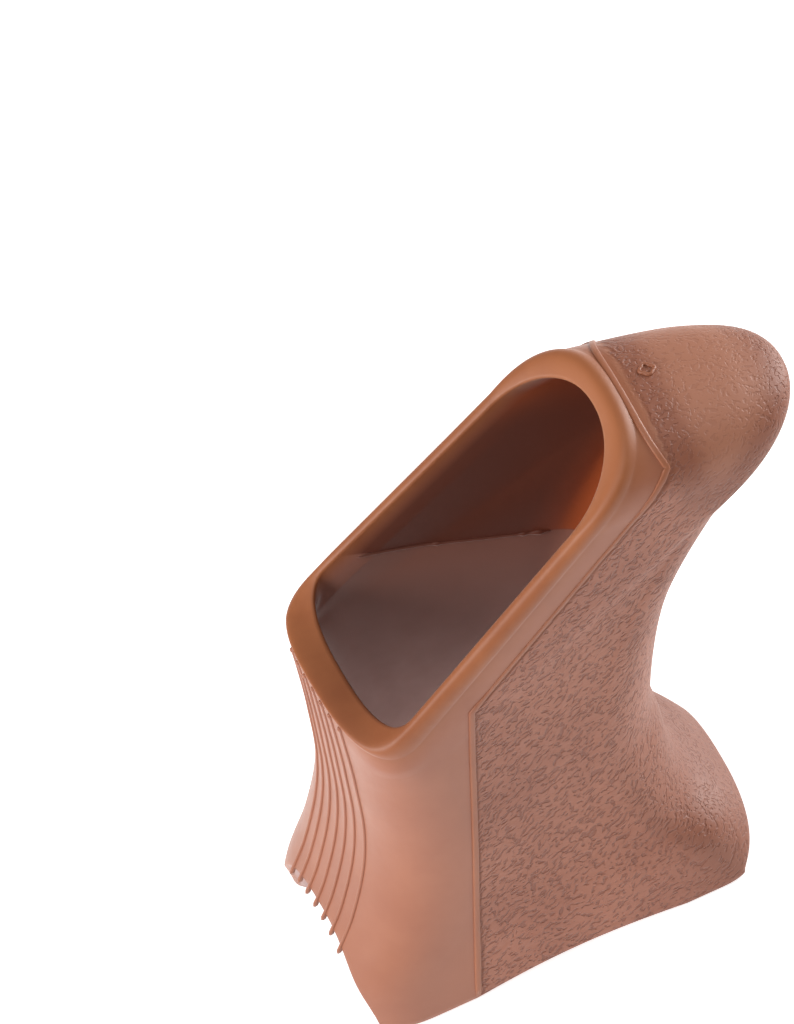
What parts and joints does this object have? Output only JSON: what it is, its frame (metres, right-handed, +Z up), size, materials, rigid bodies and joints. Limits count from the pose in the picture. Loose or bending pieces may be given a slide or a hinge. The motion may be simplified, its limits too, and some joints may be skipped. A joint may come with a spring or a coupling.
{
  "type": "brake lever hood",
  "caption": "Moulded rubber boot over a drop bar brake lever body, with a slanted lipped lever opening, a nose above it and a bar end cut to straddle the handlebar",
  "frame": {"origin": "middle of the bounding box, at the level of the flap soles that it stands on", "axes": "+Z up from the bar end, +X from the ribbed lever side toward the nose and the thumb side, +Y across, normal to the plane of symmetry"},
  "size_m": [0.0722, 0.0306, 0.0755],
  "materials": {
    "hood_rubber": "matte"
  },
  "bodies": {
    "root": {"lever_hood": "hood_rubber"}
  },
  "joints": []
}
